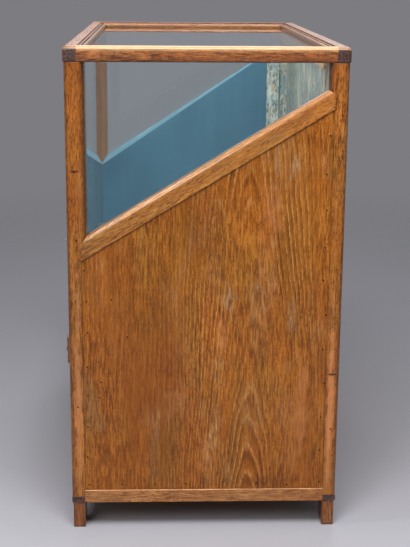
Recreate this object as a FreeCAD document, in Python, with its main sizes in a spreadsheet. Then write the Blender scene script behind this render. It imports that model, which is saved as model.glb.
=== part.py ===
# Oak display cabinet: glazed top, front and ends over a panelled store, with sliding
# doors at the rear and a drop-down flap low in the front.
# X runs from the front (-) to the rear (+), Y from the near end (-) to the far end (+),
# Z up from the floor. The origin is on the floor, under the middle of the cabinet.
import math
import os

import FreeCAD, Part
import Sketcher

Vector = FreeCAD.Vector
doc = FreeCAD.newDocument("DisplayCabinet")
sheet = doc.addObject("Spreadsheet::Sheet", "Sizes")


# A number from the sheet together with the expression that gives it, so that sizes can
# be worked out with ordinary arithmetic and still follow the sheet.
class Size:
    def __init__(self, value, text):
        self.value = float(value)
        self.text = text

    def __add__(self, other):
        other = sized(other)
        return Size(self.value + other.value, "(%s + %s)" % (self.text, other.text))

    def __sub__(self, other):
        other = sized(other)
        return Size(self.value - other.value, "(%s - %s)" % (self.text, other.text))

    def __mul__(self, other):
        other = sized(other)
        return Size(self.value * other.value, "(%s * %s)" % (self.text, other.text))

    def __truediv__(self, other):
        other = sized(other)
        return Size(self.value / other.value, "(%s / %s)" % (self.text, other.text))

    def __neg__(self):
        return Size(-self.value, "(0 - %s)" % self.text)

    def __radd__(self, other):
        return sized(other) + self

    def __rsub__(self, other):
        return sized(other) - self

    def __rmul__(self, other):
        return sized(other) * self


def sized(number):
    return number if isinstance(number, Size) else Size(number, repr(number))


def square_root(size):
    return Size(math.sqrt(size.value), "sqrt(%s)" % size.text)


rows = iter(range(1, 200))


# One driving dimension: its own row of the sheet, with its alias and what it measures.
def size(alias, value, meaning):
    row = next(rows)
    sheet.set("A%d" % row, alias)
    sheet.set("B%d" % row, str(value))
    sheet.set("C%d" % row, meaning)
    sheet.setAlias("B%d" % row, alias)
    return Size(value, "Sizes." + alias)


overall_high = size("overall_high", 920, "floor to the top of the frame")
overall_wide = size("overall_wide", 513, "front to rear over the top frame")
overall_long = size("overall_long", 968, "end to end over the top frame")
overhang = size("overhang", 2, "top frame past the posts, on each side")

leg_high = size("leg_high", 52, "clear height under the case")
leg_wide = size("leg_wide", 22.5, "leg across the cabinet")
leg_deep = size("leg_deep", 50, "leg along the cabinet")
leg_set = size("leg_set", 1, "leg behind the end's face")
leg_chamfer = size("leg_chamfer", 1.5, "worn lower edge of a leg")
bearer_thick = size("bearer_thick", 12, "strip under the posts")

post_wide = size("post_wide", 36, "post across the cabinet")
post_deep = size("post_deep", 52, "post along the cabinet")
post_round = size("post_round", 8, "round on a post's outer corner")
lap_wide = size("lap_wide", 11, "lap of rails and panel on a post, and round of the sight edges")
lap_deep = size("lap_deep", 12, "depth of that lap")

slope_low = size("slope_low", 577.5, "top of the sloping rail at the front posts")
slope_high = size("slope_high", 843.5, "top of the sloping rail at the rear posts")
slope_rail_wide = size("slope_rail_wide", 34, "sloping rail, square to its length")
slope_lip_deep = size("slope_lip_deep", 26, "full-height outer part of the sloping rail")
slope_step = size("slope_step", 8, "drop of its inner part, square to its length")
end_rail_high = size("end_rail_high", 25, "bottom rail of an end")
end_rail_deep = size("end_rail_deep", 24, "bottom rail of an end, along the cabinet")
panel_recess = size("panel_recess", 2.5, "end panel behind the face of its frame")
edge_round = size("edge_round", 2, "broken edge of rails and boards")

glass_thick = size("glass_thick", 3, "end and front glass")
glass_play = size("glass_play", 0.2, "glass to its groove, on each side")
glass_bite = size("glass_bite", 5, "depth of a glass groove")
end_glass_set = size("end_glass_set", 12.2, "end glass behind the end's face")
front_glass_set = size("front_glass_set", 19.5, "front glass behind the front face")

top_thick = size("top_thick", 28, "top frame")
top_rail_wide = size("top_rail_wide", 25, "top frame member without its ledge")
top_round = size("top_round", 8, "bullnose of the top frame")
top_under_round = size("top_under_round", 3, "round under the top frame")
ledge_wide = size("ledge_wide", 13, "ledge under the top glass, and the bead over it")
ledge_thick = size("ledge_thick", 12, "that ledge")
top_glass_thick = size("top_glass_thick", 4, "top glass")
top_glass_play = size("top_glass_play", 0.5, "top glass to its frame, on each side")
top_bead_high = size("top_bead_high", 9, "bead over the top glass")
top_bead_round = size("top_bead_round", 4, "round of that bead")
bead_groove_set = size("bead_groove_set", 4.5, "groove in that bead, from its frame member")
bead_groove_wide = size("bead_groove_wide", 3, "width and depth of that groove")

middle_rail_high = size("middle_rail_high", 32, "front rail between glass and flap")
middle_rail_round = size("middle_rail_round", 7, "round on its upper front edge")
deck_under = size("deck_under", 370, "underside of the display deck")
deck_thick = size("deck_thick", 12, "display deck")
cloth_thick = size("cloth_thick", 1.5, "cloth on the deck")
floor_thick = size("floor_thick", 12, "floor of the store")
stop_gap = size("stop_gap", 0.5, "closed flap to the boards that stop it")

lining_thick = size("lining_thick", 6, "lined board inside an end")
lining_gap = size("lining_gap", 0.5, "lined board to the front glass and to the inner door")
lining_corner = size("lining_corner", 22, "slanted front corner of a lined board")
near_lining_front = size("near_lining_front", -6, "near lined board over the sloping rail, at the front")
near_lining_rear = size("near_lining_rear", -6, "near lined board over the sloping rail, at the rear")
far_lining_front = size("far_lining_front", 12.5, "far lined board over the sloping rail, at the front")
far_lining_rear = size("far_lining_rear", 28.3, "far lined board over the sloping rail, at the rear")

track_thick = size("track_thick", 14, "upper door track")
lower_track_thick = size("lower_track_thick", 14, "lower door track")
track_lip = size("track_lip", 4, "track in front of the inner door")
upper_groove = size("upper_groove", 8, "depth of the upper door grooves")
lower_groove = size("lower_groove", 6, "depth of the lower door grooves")
groove_play = size("groove_play", 0.4, "door to its groove, on each side")
lower_track_rise = size("lower_track_rise", 10, "lower track over the deck board")

door_board_thick = size("door_board_thick", 5, "inner board of a sliding door")
door_frame_thick = size("door_frame_thick", 10, "frame on the door's outer side")
door_stile = size("door_stile", 45, "width of the door's stiles and rails")
door_gap = size("door_gap", 4, "between the two doors")
door_set = size("door_set", 3.5, "outer door behind the rear face")
door_wide = size("door_wide", 494, "width of one door")
door_side_play = size("door_side_play", 2, "closed door to its post")
door_run_play = size("door_run_play", 0.3, "door over the bottom of its groove")
door_top_play = size("door_top_play", 2, "door under the top of its groove")

rear_rail_high = size("rear_rail_high", 40, "rear bottom rail")
rear_panel_thick = size("rear_panel_thick", 10, "fixed rear panel of the store")
rear_panel_set = size("rear_panel_set", 8.5, "that panel behind the rear face")

pull_ring = size("pull_ring", 34, "diameter of a flush pull")
pull_cup = size("pull_cup", 26, "diameter of its cup")
pull_deep = size("pull_deep", 8, "depth of its cup")
pull_wall = size("pull_wall", 1, "metal of a flush pull")

flap_thick = size("flap_thick", 20, "drop-down flap")
flap_gap = size("flap_gap", 2, "flap to the pieces round it")
knob_wide = size("knob_wide", 20, "diameter of the flap's knob")
knob_proud = size("knob_proud", 14, "knob in front of the flap")
knob_neck = size("knob_neck", 10, "diameter of the knob's neck")
knob_pin = size("knob_pin", 8, "diameter of the knob's pin")
knob_pin_deep = size("knob_pin_deep", 14, "pin of the knob in the flap")
knob_drop = size("knob_drop", 40, "knob under the flap's top edge")

hinge_long = size("hinge_long", 60, "flap hinge")
hinge_knuckle = size("hinge_knuckle", 6, "diameter of a hinge knuckle")
hinge_pin = size("hinge_pin", 2.5, "diameter of a hinge pin")
hinge_leaf_thick = size("hinge_leaf_thick", 0.9, "hinge leaf")
hinge_leaf_wide = size("hinge_leaf_wide", 18, "hinge leaf from the front face")
hinge_pin_play = size("hinge_pin_play", 0.06, "hinge pin in the moving knuckle")
hinge_side_play = size("hinge_side_play", 0.2, "between two knuckles")
hinge_proud = size("hinge_proud", 0.5, "knuckle to the front face")
hinge_from_middle = size("hinge_from_middle", 300, "hinge from the middle of the flap")

button_long = size("button_long", 57, "turn button")
button_wide = size("button_wide", 14, "turn button")
button_thick = size("button_thick", 4.8, "turn button")
button_height = size("button_height", 350, "turn button's screw over the floor")
button_from_edge = size("button_from_edge", 10, "turn button's screw from the post's inner edge")
button_screw = size("button_screw", 4, "diameter of its screw")
button_screw_deep = size("button_screw_deep", 16, "its screw in the post")
button_screw_head = size("button_screw_head", 8, "head and collar of its screw")
button_collar = size("button_collar", 1, "collar between button and post")
button_head_high = size("button_head_high", 1.6, "head of its screw")
button_play = size("button_play", 0.1, "turn button between collar and head")
button_bore_play = size("button_bore_play", 0.06, "turn button round its screw")

doc.recompute()

# Places that many pieces share
post_x = overall_wide / 2 - overhang
post_y = overall_long / 2 - overhang
inner_x = post_x - post_wide
inner_y = post_y - post_deep
lap_x = inner_x + lap_wide
post_foot = leg_high + bearer_thick
frame_under = overall_high - top_thick
end_rail_top = leg_high + end_rail_high
deck_top = deck_under + deck_thick
cloth_top = deck_top + cloth_thick
middle_rail_top = deck_top + middle_rail_high
floor_top = post_foot + floor_thick
glass_slot = glass_thick + 2 * glass_play
front_glass_x = post_x - front_glass_set
stop_x = post_x - flap_thick - stop_gap

# The sloping line of the ends: rise for each millimetre across, and length for the same
rise = (slope_high - slope_low) / (2 * inner_x)
steep = square_root(rise * rise + 1)
slope_rail_drop = slope_rail_wide * steep

# The sliding doors
door_thick = door_board_thick + door_frame_thick
outer_door_x = post_x - door_set - door_thick
inner_door_x = outer_door_x - door_gap - door_thick
track_x = inner_door_x - track_lip
lower_track_top = deck_top + lower_track_rise
lower_track_under = lower_track_top - lower_track_thick
upper_track_under = frame_under - track_thick
door_low = lower_track_top - lower_groove + door_run_play
door_high = upper_track_under + upper_groove - door_top_play

# The flap and its hinge line
flap_low = post_foot + flap_gap
flap_high = deck_top - flap_gap
hinge_x = post_x + hinge_proud + hinge_knuckle / 2
hinge_z = post_foot + flap_gap / 2

SIDES = {"front": -1, "rear": 1}
ENDS = {"near": -1, "far": 1}
sub_parts = []


def slope_at(x):
    return slope_low + rise * (x + inner_x)


# A PartDesign body whose label names its node
def new_body(label):
    body = doc.addObject("PartDesign::Body", label)
    body.Label = label
    sub_parts.append(body)
    return body


def place(part, x, y, z):
    for axis, where in (("x", x), ("y", y), ("z", z)):
        part.setExpression("Placement.Base." + axis, sized(where).text)


# A sketch on one of the body's own planes, moved along that plane's world axis
def new_sketch(body, plane, level):
    sketch = body.newObject("Sketcher::SketchObject", "Sketch")
    planes = {feature.Role: feature for feature in body.Origin.OriginFeatures}
    sketch.AttachmentSupport = (planes[plane + "_Plane"], [""])
    sketch.MapMode = "FlatFace"
    along_normal = -sized(level) if plane == "XZ" else sized(level)
    sketch.setExpression("AttachmentOffset.Base.z", along_normal.text)
    return sketch


# Ties one point of a sketch to its place with two dimensions from the origin
def pin_point(sketch, geometry, vertex, x, y):
    for kind, axis, where in (("DistanceX", -2, x), ("DistanceY", -1, y)):
        if abs(where.value) < 1e-9:
            sketch.addConstraint(Sketcher.Constraint("PointOnObject", geometry, vertex, axis))
            continue
        index = sketch.addConstraint(
            Sketcher.Constraint(kind, -1, 1, geometry, vertex, where.value))
        sketch.setExpression("Constraints[%d]" % index, where.text)


def draw_outline(sketch, corners):
    corners = [(sized(x), sized(y)) for x, y in corners]
    count = len(corners)
    for index, (x, y) in enumerate(corners):
        end_x, end_y = corners[(index + 1) % count]
        sketch.addGeometry(Part.LineSegment(Vector(x.value, y.value, 0),
                                            Vector(end_x.value, end_y.value, 0)))
    for index in range(count):
        sketch.addConstraint(
            Sketcher.Constraint("Coincident", index, 2, (index + 1) % count, 1))
    for index, (x, y) in enumerate(corners):
        pin_point(sketch, index, 1, x, y)


def draw_circles(sketch, centres, diameter):
    for index, (x, y) in enumerate(centres):
        x, y = sized(x), sized(y)
        sketch.addGeometry(Part.Circle(Vector(x.value, y.value, 0), Vector(0, 0, 1),
                                       diameter.value / 2))
        pin_point(sketch, index, 3, x, y)
        row = sketch.addConstraint(Sketcher.Constraint("Diameter", index, diameter.value))
        sketch.setExpression("Constraints[%d]" % row, diameter.text)


# Material from one level to another along the plane's world axis: X for YZ, Y for XZ, Z for XY
def extrude(body, plane, draw, shape, first, last, kind="PartDesign::Pad"):
    low, high = sorted((sized(first), sized(last)), key=lambda level: level.value)
    sketch = new_sketch(body, plane, low)
    draw(sketch, *shape)
    feature = body.newObject(kind, kind.split("::")[1])
    feature.Profile = sketch
    feature.setExpression("Length", (high - low).text)
    feature.Reversed = (plane == "XZ") == (kind == "PartDesign::Pad")
    sketch.Visibility = False
    return feature


def pad(body, plane, corners, first, last):
    return extrude(body, plane, draw_outline, (corners,), first, last)


# A pocket counts only if it takes something away
def checked_cut(body, plane, draw, shape, first, last):
    doc.recompute()
    before = body.Shape.Volume
    feature = extrude(body, plane, draw, shape, first, last, "PartDesign::Pocket")
    doc.recompute()
    if body.Shape.Volume > before - 1e-3:
        raise RuntimeError("a pocket of %s cuts nothing" % body.Label)
    return feature


def cut(body, plane, corners, first, last):
    return checked_cut(body, plane, draw_outline, (corners,), first, last)


def drill(body, plane, centres, diameter, first, last):
    return checked_cut(body, plane, draw_circles, (centres, diameter), first, last)


def rectangle(x_first, x_last, y_first, y_last):
    return [(x_first, y_first), (x_last, y_first), (x_last, y_last), (x_first, y_last)]


# A test for edges that lie wholly at the given coordinates
def lies_at(**places):
    def test(edge):
        box = edge.BoundBox
        for axis, where in places.items():
            at = sized(where).value
            low = getattr(box, axis.upper() + "Min")
            high = getattr(box, axis.upper() + "Max")
            if abs(low - at) > 0.01 or abs(high - at) > 0.01:
                return False
        return True
    return test


def soften(body, wanted, radius, kind="PartDesign::Fillet"):
    doc.recompute()
    base = body.Tip
    names = ["Edge%d" % (index + 1) for index, edge in enumerate(base.Shape.Edges)
             if wanted(edge)]
    if not names:
        raise RuntimeError("no edge of %s was found to soften" % body.Label)
    feature = body.newObject(kind, kind.split("::")[1])
    feature.Base = (base, names)
    size_name = "Radius" if kind.endswith("Fillet") else "Size"
    feature.setExpression(size_name, radius.text)
    base.Visibility = False
    return feature


# A plain board between two corners
def board(label, x_first, x_last, y_first, y_last, z_first, z_last):
    body = new_body(label)
    pad(body, "XY", rectangle(x_first, x_last, y_first, y_last), z_first, z_last)
    return body


# A turned piece: its profile is given as (radius, distance along the axis)
def turned(body, profile, plane="XZ"):
    sketch = new_sketch(body, plane, 0)
    draw_outline(sketch, profile)
    feature = body.newObject("PartDesign::Revolution", "Revolution")
    feature.Profile = sketch
    feature.ReferenceAxis = (sketch, ["V_Axis"])
    feature.Angle = 360
    sketch.Visibility = False
    return feature


# Separate solids that share one node
def group(label, solids):
    part = doc.addObject("Part::Feature", label)
    part.Label = label
    part.Shape = Part.makeCompound(solids)
    sub_parts.append(part)
    return part


def make_post(side, end):
    across, along = SIDES[side], ENDS[end]
    body = new_body("%s_%s_post" % (side, end))
    pad(body, "XY", rectangle(across * post_x, across * inner_x, along * post_y, along * inner_y),
        post_foot, frame_under)
    meet = slope_at(across * inner_x)
    tip = slope_at(across * lap_x) - lap_wide * steep
    face = along * post_y
    cut(body, "XZ", [(across * lap_x, post_foot), (across * inner_x, post_foot),
                     (across * inner_x, meet), (across * lap_x, tip)],
        face, along * (post_y - lap_deep))
    deep_x = inner_x + glass_bite
    cut(body, "XZ", [(across * deep_x, slope_at(across * deep_x) - glass_bite * steep),
                     (across * inner_x, meet - glass_bite * steep),
                     (across * inner_x, frame_under), (across * deep_x, frame_under)],
        along * (post_y - end_glass_set + glass_play),
        along * (post_y - end_glass_set + glass_play - glass_slot))
    if side == "front":
        cut(body, "XY", rectangle(-front_glass_x - glass_play,
                                  glass_thick + glass_play - front_glass_x,
                                  along * inner_y, along * (inner_y + glass_bite)),
            middle_rail_top - glass_bite, frame_under)
        drill(body, "YZ", [(along * (inner_y + button_from_edge), button_height)],
              button_screw, -post_x, button_screw_deep - post_x)
    soften(body, lies_at(x=across * inner_x, y=face), lap_wide)
    soften(body, lies_at(x=across * post_x, y=face), post_round)
    return body


def make_leg(side, end):
    across, along = SIDES[side], ENDS[end]
    body = new_body("%s_%s_leg" % (side, end))
    pad(body, "XY", rectangle(-leg_wide / 2, leg_wide / 2, -leg_deep / 2, leg_deep / 2), 0, leg_high)
    soften(body, lies_at(z=0), leg_chamfer, "PartDesign::Chamfer")
    place(body, across * (lap_x + leg_wide / 2), along * (post_y - leg_set - leg_deep / 2), 0)
    return body


def make_bearer(side):
    across = SIDES[side]
    body = new_body("%s_bottom_bearer" % side)
    notch_y = post_y - lap_deep
    pad(body, "XY", [(across * post_x, -post_y), (across * lap_x, -post_y),
                     (across * lap_x, -notch_y), (across * inner_x, -notch_y),
                     (across * inner_x, notch_y), (across * lap_x, notch_y),
                     (across * lap_x, post_y), (across * post_x, post_y)],
        leg_high, post_foot)
    soften(body, lies_at(x=across * post_x, z=leg_high), edge_round)
    return body


def make_end_bottom_rail(end):
    along = ENDS[end]
    face = along * post_y
    body = new_body("%s_bottom_rail" % end)
    pad(body, "XZ", rectangle(-inner_x, inner_x, leg_high, end_rail_top),
        face, along * (post_y - end_rail_deep))
    pad(body, "XZ", rectangle(-lap_x, lap_x, leg_high, end_rail_top),
        face, along * (post_y - lap_deep))
    soften(body, lies_at(y=face, z=end_rail_top), edge_round)
    return body


def make_sloping_rail(end):
    along = ENDS[end]
    face = along * post_y
    body = new_body("%s_sloping_rail" % end)
    front_tip = slope_at(-lap_x) - lap_wide * steep
    rear_tip = slope_at(lap_x) - lap_wide * steep
    pad(body, "XZ", [(-inner_x, slope_low), (-lap_x, front_tip),
                     (-lap_x, slope_at(-lap_x) - slope_rail_drop),
                     (lap_x, slope_at(lap_x) - slope_rail_drop),
                     (lap_x, rear_tip), (inner_x, slope_high)],
        face, along * (post_y - lap_deep))
    low_side = [(inner_x, slope_high - slope_rail_drop), (-inner_x, slope_low - slope_rail_drop)]
    pad(body, "XZ", [(-inner_x, slope_low), (inner_x, slope_high)] + low_side,
        along * (post_y - lap_deep), along * (post_y - slope_lip_deep))
    step = slope_step * steep
    pad(body, "XZ", [(-inner_x, slope_low - step), (inner_x, slope_high - step)] + low_side,
        along * (post_y - slope_lip_deep), along * inner_y)
    bite = glass_bite * steep
    cut(body, "XZ", [(-inner_x, slope_low), (inner_x, slope_high),
                     (inner_x, slope_high - bite), (-inner_x, slope_low - bite)],
        along * (post_y - end_glass_set + glass_play),
        along * (post_y - end_glass_set + glass_play - glass_slot))

    def top_outer_edge(edge):
        middle = edge.CenterOfMass
        on_line = abs(middle.z - slope_at(sized(middle.x)).value) < 0.01
        return on_line and lies_at(y=face)(edge) and edge.Length > post_wide.value
    soften(body, top_outer_edge, lap_wide)
    return body


def make_end_panel(end):
    along = ENDS[end]
    body = new_body("%s_end_panel" % end)
    front, back = post_y - panel_recess, post_y - lap_deep
    pad(body, "XZ", [(-lap_x, end_rail_top), (lap_x, end_rail_top),
                     (lap_x, slope_at(lap_x) - slope_rail_drop),
                     (-lap_x, slope_at(-lap_x) - slope_rail_drop)],
        along * front, along * back)
    return body


def make_end_glass(end):
    along = ENDS[end]
    body = new_body("%s_end_glass" % end)
    side_x = inner_x + glass_bite - glass_play
    bite = glass_bite * steep
    top = frame_under + glass_bite - glass_play
    face = post_y - end_glass_set
    pad(body, "XZ", [(-side_x, slope_at(-side_x) - bite), (side_x, slope_at(side_x) - bite),
                     (side_x, top), (-side_x, top)],
        along * face, along * (face - glass_thick))
    return body


def make_lining(end, front_rise, rear_rise):
    along = ENDS[end]
    body = new_body("%s_end_lining" % end)
    front = front_glass_x - glass_thick - lining_gap
    rear = inner_door_x - lining_gap
    front_high = slope_low + front_rise
    pad(body, "XZ", [(-inner_x, cloth_top), (track_x, cloth_top),
                     (track_x, lower_track_top), (rear, lower_track_top),
                     (rear, slope_at(rear) + rear_rise), (-inner_x, front_high),
                     (-front, front_high - lining_corner), (-front, middle_rail_top),
                     (-inner_x, middle_rail_top)],
        along * inner_y, along * (inner_y - lining_thick))
    return body


def make_long_top_rail(side):
    across = SIDES[side]
    half_wide, half_long = overall_wide / 2, overall_long / 2
    body = new_body("%s_top_rail" % side)
    shoulder = half_wide - top_rail_wide
    pad(body, "XY", rectangle(across * half_wide, across * shoulder, -half_long, half_long),
        frame_under, overall_high)
    pad(body, "XY", rectangle(across * shoulder, across * (shoulder - ledge_wide),
                              top_rail_wide - half_long, half_long - top_rail_wide),
        frame_under, frame_under + ledge_thick)
    if side == "front":
        cut(body, "XY", rectangle(-front_glass_x - glass_play,
                                  glass_thick + glass_play - front_glass_x,
                                  -(inner_y + glass_bite), inner_y + glass_bite),
            frame_under, frame_under + glass_bite)
    for end in ENDS.values():
        soften(body, lies_at(x=across * half_wide, y=end * half_long), top_round)

    def outer_edge(level):
        def test(edge):
            middle = edge.CenterOfMass
            outside = (abs(middle.y) > (half_long - top_round).value - 0.01
                       or abs(middle.x) > half_wide.value - 0.01)
            return outside and lies_at(z=level)(edge) and edge.Length > 1
        return test
    soften(body, outer_edge(overall_high), top_round * 0.98)
    soften(body, outer_edge(frame_under), top_under_round)
    return body


def make_short_top_rail(end):
    along = ENDS[end]
    half_wide, half_long = overall_wide / 2, overall_long / 2
    shoulder_x, shoulder_y = half_wide - top_rail_wide, half_long - top_rail_wide
    body = new_body("%s_top_rail" % end)
    pad(body, "XY", rectangle(-shoulder_x, shoulder_x, along * half_long, along * shoulder_y),
        frame_under, overall_high)
    ledge_x = shoulder_x - ledge_wide
    pad(body, "XY", rectangle(-ledge_x, ledge_x, along * shoulder_y, along * (shoulder_y - ledge_wide)),
        frame_under, frame_under + ledge_thick)
    groove_x = inner_x + glass_bite
    slot = post_y - end_glass_set + glass_play
    cut(body, "XY", rectangle(-groove_x, groove_x, along * slot, along * (slot - glass_slot)),
        frame_under, frame_under + glass_bite)
    soften(body, lies_at(y=along * half_long, z=overall_high), top_round * 0.98)
    soften(body, lies_at(y=along * half_long, z=frame_under), top_under_round)
    return body


# The top glass lies on the ledges and four mitred beads lie on its rim
def make_top_glazing():
    out_x, out_y = overall_wide / 2 - top_rail_wide, overall_long / 2 - top_rail_wide
    in_x, in_y = out_x - ledge_wide, out_y - ledge_wide
    low = frame_under + ledge_thick
    bead_low = low + top_glass_thick
    bead_high = bead_low + top_bead_high
    board("top_glass", top_glass_play - out_x, out_x - top_glass_play,
          top_glass_play - out_y, out_y - top_glass_play, low, bead_low)
    first, last = bead_groove_set, bead_groove_set + bead_groove_wide
    groove_low = bead_high - bead_groove_wide
    for side, sign in SIDES.items():
        body = new_body("%s_top_bead" % side)
        pad(body, "XY", [(sign * out_x, -out_y), (sign * in_x, -in_y),
                         (sign * in_x, in_y), (sign * out_x, out_y)], bead_low, bead_high)
        cut(body, "XY", [(sign * (out_x - first), first - out_y), (sign * (out_x - last), last - out_y),
                         (sign * (out_x - last), out_y - last), (sign * (out_x - first), out_y - first)],
            groove_low, bead_high)
        soften(body, lies_at(x=sign * in_x, z=bead_high), top_bead_round)
    for end, sign in ENDS.items():
        body = new_body("%s_top_bead" % end)
        pad(body, "XY", [(-out_x, sign * out_y), (-in_x, sign * in_y),
                         (in_x, sign * in_y), (out_x, sign * out_y)], bead_low, bead_high)
        cut(body, "XY", [(first - out_x, sign * (out_y - first)), (last - out_x, sign * (out_y - last)),
                         (out_x - last, sign * (out_y - last)), (out_x - first, sign * (out_y - first))],
            groove_low, bead_high)
        soften(body, lies_at(y=sign * in_y, z=bead_high), top_bead_round)


# Middle rail and glass of the front
def make_front():
    rail = board("front_middle_rail", -post_x, -inner_x, -inner_y, inner_y, deck_top, middle_rail_top)
    cut(rail, "XY", rectangle(-front_glass_x - glass_play, glass_thick + glass_play - front_glass_x,
                              -inner_y, inner_y), middle_rail_top - glass_bite, middle_rail_top)
    soften(rail, lies_at(x=-post_x, z=middle_rail_top), middle_rail_round)
    soften(rail, lies_at(x=-post_x, z=deck_top), edge_round)
    half_long = inner_y + glass_bite - glass_play
    board("front_glass", -front_glass_x, glass_thick - front_glass_x, -half_long, half_long,
          middle_rail_top - glass_bite, frame_under + glass_bite - glass_play)


# Floor of the store, deck of the display and the cloth on it
def make_boards():
    for label, low, thick, rear, end in (
            ("floor_board", post_foot, floor_thick, inner_x, post_y - end_rail_deep),
            ("deck_board", deck_under, deck_thick, track_x, post_y - lap_deep)):
        body = new_body(label)
        pad(body, "XY", [(-stop_x, -inner_y), (-inner_x, -inner_y), (-inner_x, -end), (rear, -end),
                         (rear, end), (-inner_x, end), (-inner_x, inner_y), (-stop_x, inner_y)],
            low, low + thick)
    board("deck_cloth", -inner_x, track_x, -inner_y, inner_y, deck_top, cloth_top)


# Two grooved tracks, the rear bottom rail and the fixed panel under the lower track
def make_rear():
    tracks = (("lower_door_track", lower_track_under, lower_track_top,
               lower_track_top - lower_groove, lower_track_top),
              ("upper_door_track", upper_track_under, frame_under,
               upper_track_under, upper_track_under + upper_groove))
    for label, low, high, groove_low, groove_high in tracks:
        track = board(label, track_x, post_x, -inner_y, inner_y, low, high)
        for door_x in (inner_door_x, outer_door_x):
            cut(track, "XY", rectangle(door_x - groove_play, door_x + door_thick + groove_play,
                                       -inner_y, inner_y), groove_low, groove_high)
    rail_top = post_foot + rear_rail_high
    board("rear_bottom_rail", inner_x, post_x, -inner_y, inner_y, post_foot, rail_top)
    outer = post_x - rear_panel_set
    board("rear_lower_panel", outer - rear_panel_thick, outer, -inner_y, inner_y,
          rail_top, lower_track_under)


# A sliding door is a lined board with a frame on its outer side. The near door runs in
# the inner groove and the far door in the outer one.
def make_door(end):
    along = ENDS[end]
    inside = inner_door_x if end == "near" else outer_door_x
    middle = inside + door_board_thick
    outside = inside + door_thick
    shut_y = inner_y - door_side_play
    free_y = shut_y - door_wide
    board("%s_door_board" % end, inside, middle, along * shut_y, along * free_y, door_low, door_high)
    shut_stile = board("%s_door_outer_stile" % end, middle, outside, along * shut_y,
                       along * (shut_y - door_stile), door_low, door_high)
    board("%s_door_inner_stile" % end, middle, outside, along * (free_y + door_stile),
          along * free_y, door_low, door_high)
    for name, low in (("bottom", door_low), ("top", door_high - door_stile)):
        board("%s_door_%s_rail" % (end, name), middle, outside,
              along * (shut_y - door_stile), along * (free_y + door_stile), low, low + door_stile)
    pull_y = along * (shut_y - door_stile / 2)
    pull_z = (door_low + door_high) / 2
    drill(shut_stile, "YZ", [(pull_y, pull_z)], pull_cup, outside - pull_deep, outside)
    drill(shut_stile, "YZ", [(pull_y, pull_z)], pull_ring, outside - pull_wall, outside)
    pull = new_body("%s_door_pull" % end)
    turned(pull, [(0, -pull_deep), (pull_cup / 2, -pull_deep), (pull_cup / 2, -pull_wall),
                  (pull_ring / 2, -pull_wall), (pull_ring / 2, 0), (pull_cup / 2 - pull_wall, 0),
                  (pull_cup / 2 - pull_wall, pull_wall - pull_deep), (0, pull_wall - pull_deep)])
    pull.Placement.Rotation = FreeCAD.Rotation(Vector(0, 1, 0), 90)
    place(pull, outside, pull_y, pull_z)


def make_flap():
    half_long = inner_y - flap_gap
    flap = board("flap_board", -post_x, flap_thick - post_x, -half_long, half_long, flap_low, flap_high)
    knob_z = flap_high - knob_drop
    drill(flap, "YZ", [(0, knob_z)], knob_pin, -post_x, knob_pin_deep - post_x)
    soften(flap, lies_at(x=-post_x, z=flap_high), edge_round)
    knob = new_body("flap_knob")
    turned(knob, [(0, -knob_pin_deep), (knob_pin / 2, -knob_pin_deep), (knob_pin / 2, 0),
                  (knob_neck / 2, 0), (knob_neck / 2, knob_proud * 0.36), (knob_wide / 2, knob_proud * 0.6),
                  (knob_wide / 2, knob_proud * 0.76), (knob_wide * 0.36, knob_proud),
                  (0, knob_proud)])
    knob.Placement.Rotation = FreeCAD.Rotation(Vector(0, 1, 0), -90)
    place(knob, -post_x, 0, knob_z)


# Leaves of one kind for both flap hinges: a knuckle for each stretch along the hinge,
# joined to a flat leaf that reaches back under the flap or over the bearer
def hinge_leaves(stretches, leaf_low, leaf_high, bore):
    solids = []
    for middle in (-hinge_from_middle.value, hinge_from_middle.value):
        plate_front = -post_x.value
        plate = Part.makeBox(hinge_leaf_wide.value, hinge_long.value, leaf_high - leaf_low,
                             Vector(plate_front, middle - hinge_long.value / 2, leaf_low))
        pieces = []
        holes = []
        for first, last in stretches:
            start = Vector(-hinge_x.value, middle + first, hinge_z.value)
            along = Vector(0, 1, 0)
            pieces.append(Part.makeCylinder(hinge_knuckle.value / 2, last - first, start, along))
            pieces.append(Part.makeBox(hinge_x.value - post_x.value, last - first, leaf_high - leaf_low,
                                       Vector(-hinge_x.value, middle + first, leaf_low)))
            holes.append(Part.makeCylinder(bore, last - first, start, along))
        solids.append(plate.fuse(pieces).cut(holes).removeSplitter())
    return [shape.Solids[0] for shape in solids]


def make_hinges():
    half = hinge_long.value / 2
    third = hinge_long.value / 6
    play = hinge_side_play.value / 2
    leaf = hinge_leaf_thick.value
    pin = hinge_pin.value / 2
    fixed = [(-half, -third - play), (third + play, half)]
    moving = [(play - third, third - play)]
    floor_level, flap_level = post_foot.value, flap_low.value
    group("flap_hinge_fixed_leaves", hinge_leaves(fixed, floor_level, floor_level + leaf, pin))
    group("flap_hinge_moving_leaves",
          hinge_leaves(moving, flap_level - leaf, flap_level, pin + hinge_pin_play.value))
    group("flap_hinge_pins",
          [Part.makeCylinder(pin, 2 * half, Vector(-hinge_x.value, middle - half, hinge_z.value),
                             Vector(0, 1, 0))
           for middle in (-hinge_from_middle.value, hinge_from_middle.value)])


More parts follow.
